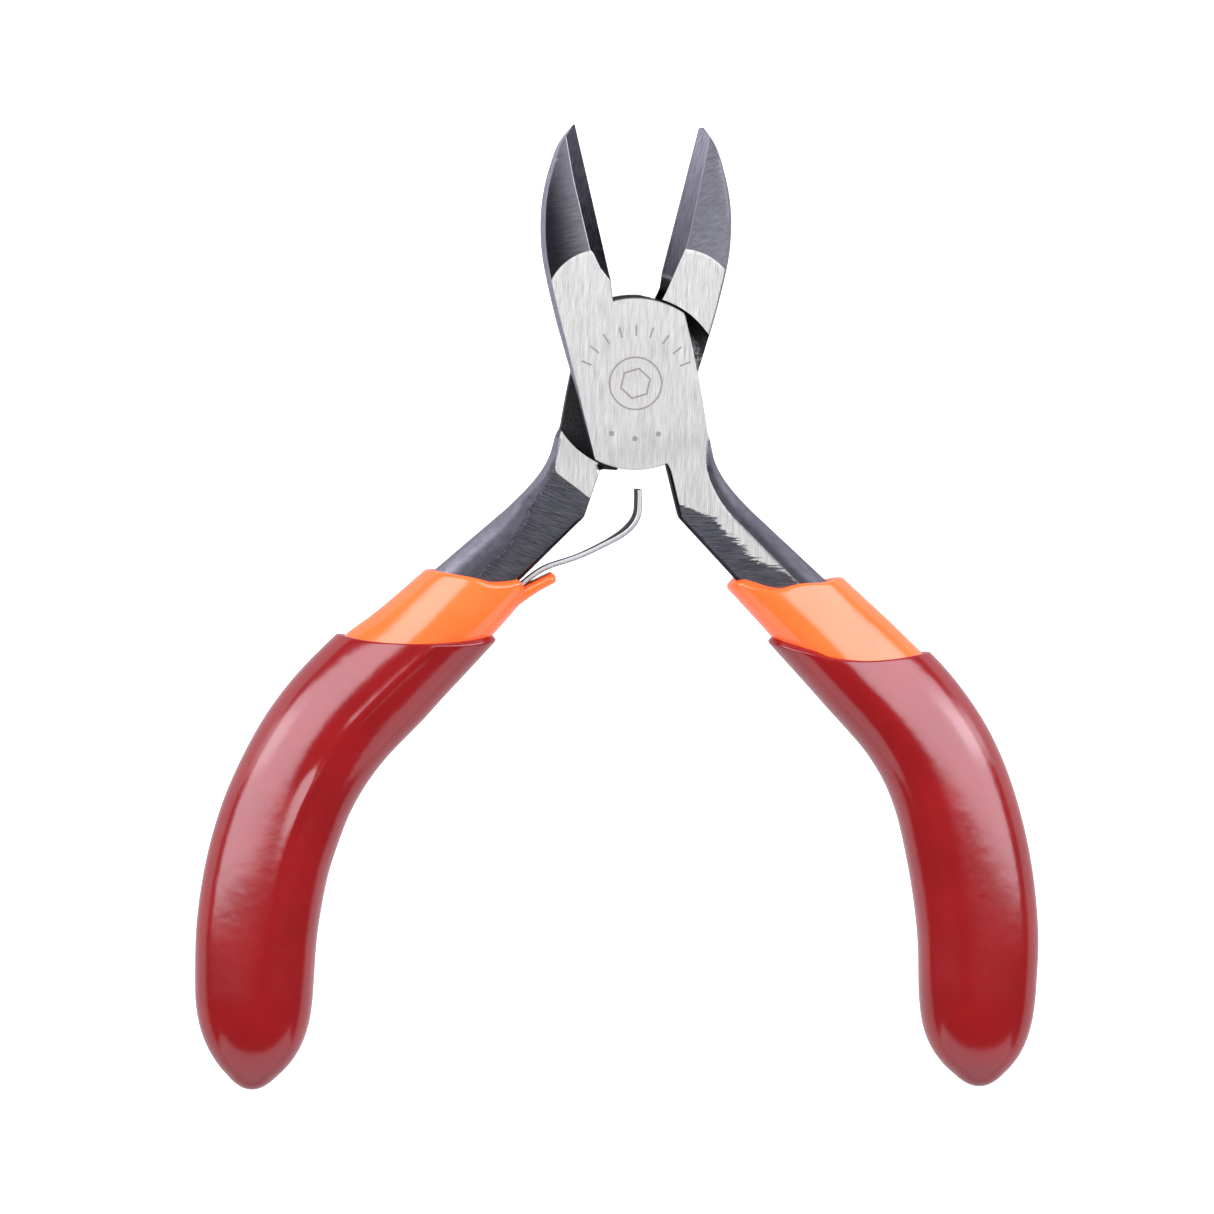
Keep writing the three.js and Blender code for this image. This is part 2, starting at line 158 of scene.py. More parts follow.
REAR = {
    "name": "rear_lever",
    "body": "rear_half",
    "turned_over": True,
    "splay": math.radians(0.7),
    "dip_shift": -1.05,
    "boss": ((-2.8, 9.6), 6.3),
    "ridge": [(29.4, 1.25), (28.3, 1.35), (23, 1.6), (17, 1.75), (15.9, 1.7), (12.4, 1.1), (10.4, 0.75),
              (9.5, 0.5)],
    "side": [(-26, 3.6), (-21, 3.2), (-18, 2.4), (-16, 1.3), (-14, 1.2), (-12.3, 0.95), (-10.5, 0.5),
             (-7, 0.35), (-5, 0.1)],
    "sway": [(0, -0.22), (0.06, -0.36), (0.12, -0.2), (0.19, -0.25), (0.25, -0.1), (0.37, -0.3), (0.5, -0.15),
             (0.56, 0), (0.63, 0.18), (0.75, 0.12), (0.88, -0.04), (0.95, -0.3)],
    "swell": [(0, 0.13), (0.19, 0.21), (0.25, 0.48), (0.37, 0.35), (0.56, 0.27), (0.63, 0.12), (0.81, 0.1),
              (0.9, 0.1), (0.95, 0.15)],
    "wedge": [(0, -0.02), (0.3, -0.04), (0.42, 0), (0.6, 0.17), (0.75, 0.16), (0.88, 0.1), (1, 0)],
    "fall": [(0, 0.26), (0.2, 0.28), (0.35, 0.14), (0.5, 0.02), (1, 0)],
    "rib": [(0.13, 0), (0.18, 0.22), (0.33, 0.24), (0.39, 0.08), (0.44, 0.12), (0.49, 0.36), (0.55, 0.26),
            (0.62, 0.1), (0.75, 0)],
    "side_slope": 0.12,
    "chamfer": [(-9.5, 0.75), (-10.1, 0.5), (-10.35, 0.06), (-15.6, 0.08), (-16.6, 0.4), (-28, 0.45)],
    "web": [(-0.85, -9.58), (-0.45, -9.92), (1.35, -10.24)],
    "plate_top": 9.62,
    "tip": [(-0.05, 29.15), (-0.55, 29.4), (-2.43, 27.7)],
    "side_softness": 1.0,
    "side_painted_sheen": (0.035, 0.25),
    "side_reach": (0.45, 1.0),
    "draft_painted_sheen": 0.2,
    "side_overlap": 0.0,
    "ragged": (0.2, 0.5),
    "ridge_painted_glint": 0.12,
    "bevel_painted_shades": ((0.2, 0.2, 0.235, 1), (0.32, 0.32, 0.365, 1)),
    "ground_foot": [(9, -9.2), (6.9, -9.9), (6.45, -10.6), (6.3, -11.5), (5.9, -11.85), (4.35, -12.5),
                    (2.3, -13.4), (-1, -14.6)],
    "sleeve_end": [(4, -26.4), (5.6, -25.6), (6.3, -25), (7.1, -24.6), (8.3, -24.95), (10.2, -25.3),
                   (12.9, -25.45), (15.8, -25.5), (20, -25.6)],
    "grip_end": [(7, -31.3), (8.4, -31.8), (13, -33.1), (18, -34.3), (22, -35.2), (26, -35.7)],
}

# ---------- curves ----------


def arc(radius, start, end, steps):
    angles = np.linspace(start, end, steps)
    return np.column_stack([radius * np.cos(angles), radius * np.sin(angles)])


def angle_of(point):
    return math.atan2(point[1], point[0])


def spline(points, per_span=8):
    """A Catmull-Rom curve through the points."""
    p = np.array(points, float)
    p = np.vstack([2 * p[0] - p[1], p, 2 * p[-1] - p[-2]])
    t = np.linspace(0, 1, per_span, endpoint=False)[:, None]
    made = []
    for a, b, c, d in zip(p[:-3], p[1:-2], p[2:-1], p[3:]):
        second, third = 2 * a - 5 * b + 4 * c - d, 3 * b - a - 3 * c + d
        made.append(0.5 * (2 * b + (c - a) * t + second * t**2 + third * t**3))
    made.append(p[-2][None])
    return np.vstack(made)


def quadratic(a, b, c, steps):
    t = np.linspace(0, 1, steps)[:, None]
    return (1 - t) ** 2 * np.array(a) + 2 * t * (1 - t) * np.array(b) + t**2 * np.array(c)


def resampled(line, step):
    """The same polyline with points about step apart."""
    line = np.array(line, float)
    lengths = np.hypot(*np.diff(line, axis=0).T)
    along = np.concatenate([[0], np.cumsum(lengths)])
    count = max(int(round(along[-1] / step)), 1) + 1
    at = np.linspace(0, along[-1], count)
    return np.column_stack([np.interp(at, along, line[:, 0]), np.interp(at, along, line[:, 1])])


def normals_of(line):
    """Unit vectors to the left of a polyline, one for each of its points."""
    step = np.gradient(line, axis=0)
    step /= np.maximum(np.hypot(*step.T), 1e-9)[:, None]
    return np.column_stack([-step[:, 1], step[:, 0]])


def inward(line, widths):
    """The polyline moved to its left by a width at each point."""
    return line + normals_of(line) * np.asarray(widths)[:, None]


def distance_to(points, line):
    """Distance from each point to a polyline."""
    a, b = line[:-1], line[1:]
    d = b - a
    length = np.maximum((d**2).sum(1), 1e-12)
    best = np.full(len(points), 1e9)
    for start, step, size in zip(a, d, length):
        t = np.clip(((points - start) @ step) / size, 0, 1)
        best = np.minimum(best, np.hypot(*(points - start - t[:, None] * step).T))
    return best


def inside(points, polygon):
    """True for each point that lies in the polygon."""
    x, y = points[:, 0], points[:, 1]
    found = np.zeros(len(points), bool)
    for (ax, ay), (bx, by) in zip(polygon, np.roll(polygon, -1, axis=0)):
        if ay == by:
            continue
        crossing = (ay > y) != (by > y)
        found ^= crossing & (x < (bx - ax) * (y - ay) / (by - ay) + ax)
    return found


def turned(points, angle):
    c, s = math.cos(angle), math.sin(angle)
    points = np.array(points, float)
    return points @ np.array([[c, s], [-s, c]])


def read_table(at, table):
    """Reads a table of (position, value) rows, straight between rows and held beyond its ends."""
    rows = np.array(sorted(table), float)
    i = np.clip(np.searchsorted(rows[:, 0], at) - 1, 0, len(rows) - 2)
    t = np.clip((at - rows[i, 0]) / (rows[i + 1, 0] - rows[i, 0]), 0, 1)
    return rows[i, 1] + (rows[i + 1, 1] - rows[i, 1]) * t


def eased(at, table, reach=0.04):
    """Reads a table, with its corners rounded off over reach to each side."""
    offsets = np.linspace(-reach, reach, 9)
    weights = 1 - np.abs(offsets) / (1.2 * reach)
    reads = [w * read_table(at + offset, table) for offset, w in zip(offsets, weights)]
    return sum(reads) / weights.sum()


def handle_line(fit):
    """Centre line of a covered handle as (share, x, y, half width) rows, before the splay."""
    shift = fit["dip_shift"]
    p = np.array([(x - 0.1 * shift * (i > 0), y + shift * (i > 0), w)
                  for i, (x, y, w) in enumerate(HANDLE_STATIONS)], float)
    p = np.vstack([2 * p[0] - p[1], p, 2 * p[-1] - p[-2]])
    spans = len(p) - 3
    rows = []
    for share in np.linspace(0, 1, HANDLE_STEPS):
        i = min(int(share * spans), spans - 1)
        t = share * spans - i
        a, b, c, d = p[i:i + 4]
        knots = [math.dist(m, n) ** 0.5 for m, n in ((a, b), (b, c), (c, d))]
        first = ((b - a) / knots[0] - (c - a) / (knots[0] + knots[1]) + (c - b) / knots[1]) * knots[1]
        last = ((c - b) / knots[1] - (d - b) / (knots[1] + knots[2]) + (d - c) / knots[2]) * knots[1]
        spot = b + first * t + (3 * (c - b) - 2 * first - last) * t**2 + (2 * (b - c) + first + last) * t**3
        rows.append([share, *spot])
    return np.array(rows)


class Handle:
    """The path that a lever's core and dipped layers follow, with the splay in it."""

    def __init__(self, fit):
        rows = handle_line(fit)
        self.share = rows[:, 0]
        self.line = turned(rows[:, 1:3], fit["splay"])
        self.half_width = rows[:, 3] + eased(self.share, fit["swell"], 0.02)
        self.normal = normals_of(self.line)
        self.line = self.line + self.normal * eased(self.share, fit["sway"])[:, None]
        self.length = np.hypot(*np.diff(self.line, axis=0).T).sum()

    def spot(self, share):
        return np.column_stack([np.interp(share, self.share, self.line[:, k]) for k in (0, 1)])

    def side(self, share):
        return np.column_stack([np.interp(share, self.share, self.normal[:, k]) for k in (0, 1)])

    def width(self, share):
        return np.interp(share, self.share, self.half_width)

    def place(self, share, across, up):
        share, across, up = np.broadcast_arrays(share, across, up)
        flat = self.spot(share) + self.side(share) * across[:, None]
        return np.column_stack([flat, MID + up])


# ---------- meshes ----------


def to_rest(points, fit):
    """Points of a closed lever, in millimetres, moved to the rest frame in metres."""
    p = np.array(points, float)
    turn = REST_TURN
    if fit["turned_over"]:
        p = np.column_stack([-p[:, 0], p[:, 1], THICK - p[:, 2]])
        turn = -REST_TURN
    p[:, :2] = turned(p[:, :2], turn)
    return p * MM


def new_object(name, points, faces, crease=30):
    """A smooth-shaded mesh object whose edges sharper than crease degrees stay crisp."""
    mesh = bpy.data.meshes.new(name)
    mesh.from_pydata([tuple(p) for p in points], [], [tuple(int(i) for i in f) for f in faces])
    mesh.validate()
    piece = bpy.data.objects.new(name, mesh)
    bpy.context.scene.collection.objects.link(piece)
    soften(piece, crease)
    return piece


def soften(piece, crease):
    mesh = piece.data
    mesh.polygons.foreach_set("use_smooth", [True] * len(mesh.polygons))
    mesh.set_sharp_from_angle(angle=math.radians(crease))


def outward(piece):
    """Turns the faces the right way out."""
    work = bmesh.new()
    work.from_mesh(piece.data)
    bmesh.ops.recalc_face_normals(work, faces=work.faces[:])
    work.to_mesh(piece.data)
    work.free()


def spots(mesh):
    return np.array([v.co for v in mesh.vertices])


def settle(piece, fit):
    """Moves a finished piece from the closed frame to its place at rest."""
    piece.data.vertices.foreach_set("co", to_rest(spots(piece.data), fit).ravel())
    piece.data.update()


def set_attribute(mesh, name, values):
    layer = mesh.attributes.new(name, "FLOAT", "POINT")
    layer.data.foreach_set("value", np.asarray(values, np.float32))


def ring_faces(count, sides):
    """Quads between rings of points that follow one another."""
    faces = []
    for row in range(0, (count - 1) * sides, sides):
        for k in range(sides):
            n = (k + 1) % sides
            faces.append((row + k, row + n, row + sides + n, row + sides + k))
    return faces


def pole_faces(count, sides):
    """Triangles that close the first and last ring on the two points that come after the rings."""
    last = (count - 1) * sides
    faces = []
    for k in range(sides):
        n = (k + 1) % sides
        faces.append((count * sides, n, k))
        faces.append((count * sides + 1, last + k, last + n))
    return faces


def combine(piece, other, operation):
    """Joins other to piece or cuts it from piece, and removes other."""
    tool = piece.modifiers.new("tool", "BOOLEAN")
    tool.object = other
    tool.operation = operation
    tool.solver = "MANIFOLD"
    bpy.context.view_layer.update()
    evaluated = piece.evaluated_get(bpy.context.evaluated_depsgraph_get())
    mesh = bpy.data.meshes.new_from_object(evaluated)
    piece.modifiers.clear()
    old = piece.data
    piece.data = mesh
    mesh.name = piece.name
    bpy.data.meshes.remove(old)
    bpy.data.objects.remove(other)


def lathe(name, profile, sides):
    """A closed solid turned about the pivot axis from (radius, z) rows that start and end on it."""
    ring = arc(1, 0, 2 * math.pi, sides + 1)[:-1]
    points = [(x * radius, y * radius, z) for radius, z in profile[1:-1] for x, y in ring]
    points += [(0, 0, profile[0][1]), (0, 0, profile[-1][1])]
    count = len(profile) - 2
    return new_object(name, points, ring_faces(count, sides) + pole_faces(count, sides))


# ---------- the forging ----------


JAW_BACK = [(-4.1, 25), (-5.4, 22.25), (-6.27, 19.4), (-6.8, 16.4), (-6.96, 13.4), (-6.95, 9.25),
            (-6.75, 4.5), (-6.5, 0)]
FOOT = (-6.3, -math.sqrt(PLATE_RADIUS**2 - 6.3**2))  # the jaw's back meets the round plate here
SHOULDER = (7.05, 6.54)
PLATE_BULGE = (7.2, 0)
NOTCH_REACH = 0.4  # from the middle to the notch below the cutting edge, along the plate's rim
NOTCH_STEP = 0.1  # the notch and the throat stand this much further back than the edge
THROAT_TOP = 11.9
EDGE_START = 12.2
WEB = [(1.55, -9.49)]  # where the tang's inner edge leaves the plate
TANG_INNER = [(1.7, -15.9), (6.75, -24.5), (9.2, -27.4)]
TANG_OUTER = [(17.2, -27.5), (9.87, -16.95)]
TANG_BEND = ((9.87, -16.95), (6.75, -12.3), (6.8, -9.6))
NECK = [(6.8, -9.6), (6.8, -8.2)]
NECK_BEND = (6.62, -7)
CORE_SHARES = (0.13, CORE_END)  # the stretch of the handle that holds the core


def forging_outline(fit, handle):
    """Named stretches of the lever's outline, anticlockwise in the closed frame."""
    splay = fit["splay"]
    inner_top = turned(fit["web"] or WEB, splay)
    inner, outer, neck = (turned(line, splay) for line in (TANG_INNER, TANG_OUTER, NECK))
    notch = math.pi / 2 + NOTCH_REACH / PLATE_RADIUS
    throat = (-EDGE_GAP - NOTCH_STEP, THROAT_TOP)
    shares = np.linspace(*CORE_SHARES, 60)
    width = CORE_HALF_WIDTH * (1 + (CORE_TAPER - 1) * shares)
    left, right = (handle.place(shares, side * width, 0)[:, :2] for side in (-1, 1))
    if left[0][0] > right[0][0]:
        left, right = right, left
    return {
        "jaw_back": spline([*fit["tip"][1:], *JAW_BACK, FOOT]),
        "plate_foot": arc(PLATE_RADIUS, angle_of(FOOT), angle_of(inner_top[0]), 60),
        "tang_inner": np.vstack([inner_top, inner]),
        "core": np.vstack([inner[-1:], left, right[::-1], outer[:1]]),
        "tang_outer": np.vstack([outer, turned(quadratic(*TANG_BEND, 16), splay), neck[1:]]),
        "plate_side": np.vstack([neck[1:], quadratic(NECK_BEND, PLATE_BULGE, SHOULDER, 24)]),
        "plate_top": arc(fit["plate_top"], angle_of(SHOULDER), notch, 60),
        "notch": np.array([arc(fit["plate_top"], notch, notch, 1)[0], throat]),
        "edge": np.array([throat, (-EDGE_GAP, EDGE_START), fit["tip"][0]]),
        "tip": np.array(fit["tip"][:2]),
    }


JAW_DRAFT = [(-7, 0.06), (-2, 0.08), (2, 0.2), (6, 0.36), (12, 0.4), (20, 0.42), (26, 0.3), (29.4, 0.12)]
DRAFT_FOOT = 0.12  # share of the face's height left where the draft meets the jaw's back
CHAMFER_SLOPE = 2
DIVE_START = 0.35  # the hidden steel sinks this far below the sleeve's lip, at this slope and depth
DIVE_SLOPE = 0.35
DIVE_DEPTH = 0.8
NOWHERE = 99
ROOT_EASE = 2  # the tang starts to thin over this length to each side of its root
SIDE_DEPTH = 0.78  # a rounded side falls at most this share of the face's height
SIDE_FALL = 1.35  # and at most this much for each millimetre of its width
CORE_BREAK = (0.6, 0.8)  # how much the core's edges are lowered, and over what width
CORE_REACH = 60
RIM_BREAK = 0.1
RIM_SKIN = 0.02  # the dark side shows this far onto the broken edge of a plate
RIMS = ("plate_foot", "plate_side", "plate_top", "notch")


class Surface:
    """Half thickness of a forging at any point of its outline, as the lowest of several facets.

    Each facet is a height over the middle plane, and NOWHERE beyond its own reach."""

    BEVEL_ROW = 1  # the ground bevel's row in heights

    def __init__(self, fit, lines):
        self.fit = fit
        self.lines = lines
        self.widths = {"jaw_back": JAW_DRAFT, "tang_outer": fit["side"], "tang_inner": fit["chamfer"]}

    def strip(self, p, name):
        """Distance from a stretch of the outline, and the width of the facet beside it."""
        return distance_to(p, self.lines[name]), read_table(p[:, 1], self.widths[name])

    def face(self, p):
        centre, radius = self.fit["boss"]
        out = np.hypot(p[:, 0] - centre[0], p[:, 1] - centre[1]) - radius
        relief = np.where(p[:, 1] > centre[1], np.maximum(out, 0), 0) * JAW_SLOPE
        past = TANG_ROOT - p[:, 1]
        eased_past = np.maximum(past + ROOT_EASE, 0) ** 2 / (4 * ROOT_EASE)
        past = np.where(past < ROOT_EASE, eased_past, past)
        along = np.clip(past / (TANG_ROOT - TANG_END), 0, 1.3)
        lip = np.array(self.fit["sleeve_end"], float)
        below = np.interp(p[:, 0], lip[:, 0], lip[:, 1]) - DIVE_START - p[:, 1]
        dive = np.clip(DIVE_SLOPE * below, 0, DIVE_DEPTH)
        return MID - relief - (MID - TANG_HALF) * along - dive

    def bevel(self, p, face):
        width = read_table(p[:, 1], self.fit["ridge"])
        rise = (-EDGE_GAP - p[:, 0]) / np.maximum(width, 0.05)
        low = min(y for y, _ in self.fit["ridge"])
        return np.where((p[:, 1] > low) & (p[:, 0] > -4), face * rise, NOWHERE)

    def draft(self, p, face):
        d, w = self.strip(p, "jaw_back")
        rise = DRAFT_FOOT + (1 - DRAFT_FOOT) * np.clip(d / w, 0, 1)
        return np.where(d < w, face * rise, NOWHERE)

    def rim(self, p, face):
        d = np.min([distance_to(p, self.lines[name]) for name in RIMS], axis=0)
        return np.where(d < RIM_BREAK, face - RIM_BREAK * (1 - d / RIM_BREAK), NOWHERE)

    def side(self, p, face):
        d, w = self.strip(p, "tang_outer")
        t = np.clip(d / w, 0, 1)
        c = self.fit["side_slope"]
        round_over = (1 - c) * np.sqrt(np.maximum(1 - (1 - t) ** 2, 0)) + c * t
        depth = np.minimum(SIDE_DEPTH * face, SIDE_FALL * w)
        return np.where(d < w, face - depth * (1 - round_over), NOWHERE)

    def chamfer(self, p, face):
        d, w = self.strip(p, "tang_inner")
        return np.where(d < w, face - CHAMFER_SLOPE * (w - d), NOWHERE)

    def core(self, p):
        share = np.clip((CORE_START - p[:, 1]) / CORE_REACH, 0, 1)
        fall, width = CORE_BREAK
        broken = fall * np.clip(1 - distance_to(p, self.lines["core"]) / width, 0, 1)
        half = CORE_HALF * (1 + (CORE_TAPER - 1) * share) - broken
        return np.where(p[:, 1] < CORE_START, half, NOWHERE)

    def heights(self, p):
        face = self.face(p)
        facets = (self.bevel, self.draft, self.rim, self.side, self.chamfer)
        return np.array([face, *(facet(p, face) for facet in facets), self.core(p)])

    def half(self, p):
        return np.maximum(self.heights(p).min(0), EDGE_LAND)

    def skin(self, p):
        """How far inside the forged sides a point is, and 1 where that side is one painted lighter, as lit;
        the outer side reaches a little further, over the face's edge, as painted shade.
        """
        draft, side, chamfer = (w - d for d, w in (self.strip(p, name) for name in self.widths))
        rims = [RIM_SKIN - distance_to(p, self.lines[name]) for name in RIMS]
        # Painted shade: side_overlap spreads the outer side's colour onto the face's edge, over the highlight
        # there.
        light = np.maximum(draft, side + self.fit["side_overlap"])
        dark = np.max([chamfer, *rims], axis=0)
        return np.maximum(light, dark), (light >= dark).astype(float)


def ridge_line(fit):
    """Where the ground bevel beside the cutting edge meets the jaw's face."""
    return np.array([(-EDGE_GAP - w, y) for y, w in fit["ridge"]])


GUIDE_PARTS = {  # shares of each facet's width that get a line of their own
    "jaw_back": (0.5, 1, 1.25),
    "tang_outer": (0.03, 0.09, 0.18, 0.3, 0.45, 0.62, 0.8, 1, 1.08),
    "tang_inner": (1,),
}


def forging_guides(surface):
    """Polylines that the mesh follows: the facets' borders and the steps of each rounding."""
    ridge = resampled(ridge_line(surface.fit), 0.5)
    half_bevel = 0.35 * surface.fit["ridge"][3][1]
    guides = [ridge, ridge + (half_bevel, 0), ridge + (0.05, 0), ridge - (0.05, 0)]
    for name, parts in GUIDE_PARTS.items():
        line = resampled(surface.lines[name], 0.5)
        widths = read_table(line[:, 1], surface.widths[name])
        guides += [inward(line, part * widths) for part in parts]
    for name in RIMS:
        line = resampled(surface.lines[name], 0.4)
        guides.append(inward(line, np.full(len(line), RIM_BREAK)))
    centre, radius = surface.fit["boss"]
    guides.append(arc(radius, math.radians(25), math.radians(165), 30) + centre)
    return guides


GRID = 0.55  # from point to point in a row
GRID_ROWS = 0.87 * GRID
GRID_MARGIN = 0.25  # no points this near the outline
CORE_THINNING = 5  # one point in this many is kept in the hidden core


def forging_grid(outline):
    """Staggered points that fill the outline."""
    low, high = outline.min(0), outline.max(0)
    points = []
    for row, y in enumerate(np.arange(low[1], high[1], GRID_ROWS)):
        x = np.arange(low[0] + GRID / 2 * (row % 2), high[0], GRID)
        points.append(np.column_stack([x, np.full(len(x), y)]))
    points = np.vstack(points)
    points = points[inside(points, outline)]
    clear = distance_to(points, np.vstack([outline, outline[:1]])) > GRID_MARGIN
    kept = (points[:, 1] > CORE_START) | (np.arange(len(points)) % CORE_THINNING == 0)
    return points[clear & kept]


def forging(fit, handle):
    """The closed lever before its lap and bore are cut, and the surface it was raised to."""
    surface = Surface(fit, forging_outline(fit, handle))
    loop = np.vstack([resampled(line, 0.5)[:-1] for line in surface.lines.values()])
    verts = [Vector(p) for p in loop]
    edges = []
    for guide in forging_guides(surface):
        start = len(verts)
        verts += [Vector(p) for p in guide]
        edges += [(start + i, start + i + 1) for i in range(len(guide) - 1)]
    verts += [Vector(p) for p in forging_grid(loop)]
    made, _, triangles, *_ = delaunay_2d_cdt(verts, edges, [list(range(len(loop)))], 1, 1e-4)
    flat = np.array([tuple(v) for v in made])
    half = surface.half(flat)
    count = len(flat)
    points = np.vstack([np.column_stack([flat, MID + half]), np.column_stack([flat, MID - half])])
    faces = [tuple(t) for t in triangles]
    sides = dict.fromkeys((a, b) for t in triangles for a, b in zip(t, (*t[1:], t[0])))
    walls = [(b, a, a + count, b + count) for a, b in sides if (b, a) not in sides]
    faces += [tuple(i + count for i in reversed(t)) for t in triangles] + walls
    used = sorted({i for f in faces for i in f})
    renumber = {old: new for new, old in enumerate(used)}
    faces = [tuple(renumber[i] for i in f) for f in faces]
    return new_object(fit["name"] + "_forging", points[used], faces, crease=24), surface


def lap_cutter():
    return lathe("lap", [(0, -1), (LAP_RADIUS, -1), (LAP_RADIUS, LAP_TOP), (0, LAP_TOP)], 192)


def bore_cutter():
    head, neck = RIVET_HEAD, RIVET_HEAD_DEPTH
    return lathe("bore", [(0, -1), (head, -1), (head, 0), (BORE, neck), (BORE, THICK - neck), (head, THICK),
                          (head, THICK + 1), (0, THICK + 1)], 96)


def ground_depth(fit, p):
    """How far inside the bright ground face a point of the closed lever is."""
    (x, y), radius = fit["boss"]
    top = np.where(p[:, 1] > y, radius - np.hypot(p[:, 0] - x, p[:, 1] - y), NOWHERE)
    foot = np.array(fit["ground_foot"], float)
    far = math.copysign(NOWHERE, foot[-1][0] - foot[0][0])
    around = [(far, foot[-1][1]), (far, NOWHERE), (-far, NOWHERE), (-far, foot[0][1])]
    above = inside(p, np.vstack([foot, around]))
    low = distance_to(p, foot) * np.where(above, 1, -1)
    return np.minimum(top, low)


LAP_DEPTH = 0.2  # a face this far below the lowest facet is the lap's, when it is near enough


def lever(fit, handle, finishes):
    piece, surface = forging(fit, handle)
    combine(piece, lap_cutter(), "DIFFERENCE")
    combine(piece, bore_cutter(), "DIFFERENCE")
    mesh = piece.data
    flat = spots(mesh)[:, :2]
    skin, light = surface.skin(flat)
    side_width = read_table(flat[:, 1], fit["side"])
    for name, values in {
        "ground": ground_depth(fit, flat),
        "skin": skin,
        "painted_lit_side": light,
        "side_share": 1 - distance_to(flat, surface.lines["tang_outer"]) / side_width,
        "ridge": distance_to(flat, ridge_line(fit)),
        "lever_x": flat[:, 0],
        "lever_y": flat[:, 1],
    }.items():
        set_attribute(mesh, name, values)
    mesh.materials.clear()
    for finish in finishes:
        mesh.materials.append(finish)
    centres = np.array([f.center for f in mesh.polygons])
    rows = surface.heights(centres[:, :2])
    deep = np.abs(centres[:, 2] - MID) < rows.min(0) - LAP_DEPTH
    kind = (rows.argmin(0) == Surface.BEVEL_ROW).astype(np.int32)
    kind[deep & (np.hypot(centres[:, 0], centres[:, 1]) < LAP_RADIUS + LAP_SKIN)] = 2
    mesh.polygons.foreach_set("material_index", kind)
    settle(piece, fit)
    soften(piece, 24)
    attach(piece, fit["body"])
    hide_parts(fit["name"])


# ---------- dipped layers ----------


def ring_shape(sides, squareness):
    """Unit points of a squared ellipse; squareness is 2 for a plain one, and may differ point by point."""
    angle = np.linspace(0, 2 * math.pi, sides, endpoint=False)
    c, s = np.cos(angle), np.sin(angle)
    power = 2 / np.asarray(squareness)
    return np.sign(c) * np.abs(c) ** power, np.sign(s) * np.abs(s) ** power


LIP_SQUARENESS = 2.1
JOIN_GAP = 0.03  # share of the handle from the lip's furthest point to the first straight section
CAVITY_END = 0.97  # share of the layer's length where the cavity's last section and its pole are
CAVITY_POLE = 0.975
BLUNT_START = 0.965
BLUNTNESS = 3.35


def tip_closing(share):
    """Share of its full section that a layer keeps on the way to its tip, at 1."""
    past = np.clip((share - TIP_START) / (1 - TIP_START), 0, 1)
    blunt = np.where(share > BLUNT_START, BLUNTNESS * np.sqrt(np.clip(1 - share, 0, 1)), 0)
    return np.maximum((1 - past**2.6) ** 0.7, blunt)


def end_share(handle, across, line):
    """Where, along the handle, the fibre at this distance from its centre line meets the line."""
    shares = np.linspace(0, 0.45, 500)
    found = []
    for value in across:
        p = handle.place(shares, value, 0)
        gap = p[:, 1] - np.interp(p[:, 0], line[:, 0], line[:, 1])
        found.append(np.interp(0, -gap, shares))
    return np.array(found)


def dipped(name, layer, fit, handle, finish):
    """A closed cup: outer skin from its rounded lip to its tip, and the cavity inside it."""
    sides, lip, wall, end = DIP_SIDES, layer["lip"], layer["wall"], layer["end"]
    across = ring_shape(sides, LIP_SQUARENESS)[0] * (handle.width(0.1) - layer["inset"])
    opening = end_share(handle, across, spline(fit[layer["lip_line"]], 6))
    join = opening.max() + JOIN_GAP

    def section(share, shrink):
        closing = tip_closing(share / end)
        wide = np.maximum(handle.width(share) * closing - layer["inset"] - shrink, 0.05)
        tall = np.maximum(layer["half"] * closing**0.9 - shrink, 0.05)
        return wide, tall

    def ring(share, shrink):
        wide, tall = section(share, shrink)
        wedge = eased(share, fit["wedge"])
        fall = eased(share, fit["fall"])
        ribs = eased(share, fit["rib"], 0.015)
        u, v = ring_shape(sides, eased(share, SQUARENESS))
        rib = ribs * np.exp(-((u * wide - RIB_PLACE) / RIB_WIDTH) ** 2)
        lean = wedge * u + fall * np.maximum(u, 0) ** 2
        return handle.place(share, u * wide, v * tall * (1 - lean) + np.sign(v) * rib)

    bottom = CAVITY_END * end
    rings = [ring(np.full(sides, bottom - (bottom - join) * t), wall) for t in (0, 0.25, 0.5, 0.75)]
    rings += [ring(opening + (join - opening) * t, wall) for t in (1, 0.5, 0)]
    rounded = lip / handle.length
    for a in np.radians(np.linspace(90, 0, 7)):
        rings.append(ring(opening + rounded * (1 - math.sin(a)), lip * (1 - math.cos(a))))
    for t in (0.06, 0.14, 0.24, 0.36, 0.5, 0.66, 0.83, 1):
        rings.append(ring(opening + rounded + (join - opening - rounded) * t, 0))
    straight = np.linspace(join, TIP_START * end, 44)[1:]
    rounding = end * (1 - (1 - TIP_START) * (1 - np.sin(np.linspace(0, math.pi / 2, 34)[1:-1])) ** 1.15)
    rings += [ring(np.full(sides, share), 0) for share in (*straight, *rounding)]
    poles = handle.place(np.array([CAVITY_POLE * end, end]), 0, 0)
    faces = ring_faces(len(rings), sides) + pole_faces(len(rings), sides)
    piece = new_object(name, np.vstack([*rings, poles]), faces, crease=50)
    outward(piece)
    piece.data.materials.append(finish)
    return piece


TONGUE_LINE = [(10.5, -29.5), (7.5, -27), (5.25, -24.85), (3.2, -23.05)]
TONGUE_HALVES = [1.8, 1.3, 0.88, 0.68, 0.64]
TONGUE_DEPTH = 2.5
TONGUE_SIDES = 24
TONGUE_END = 0.94  # share of its length where it starts to close


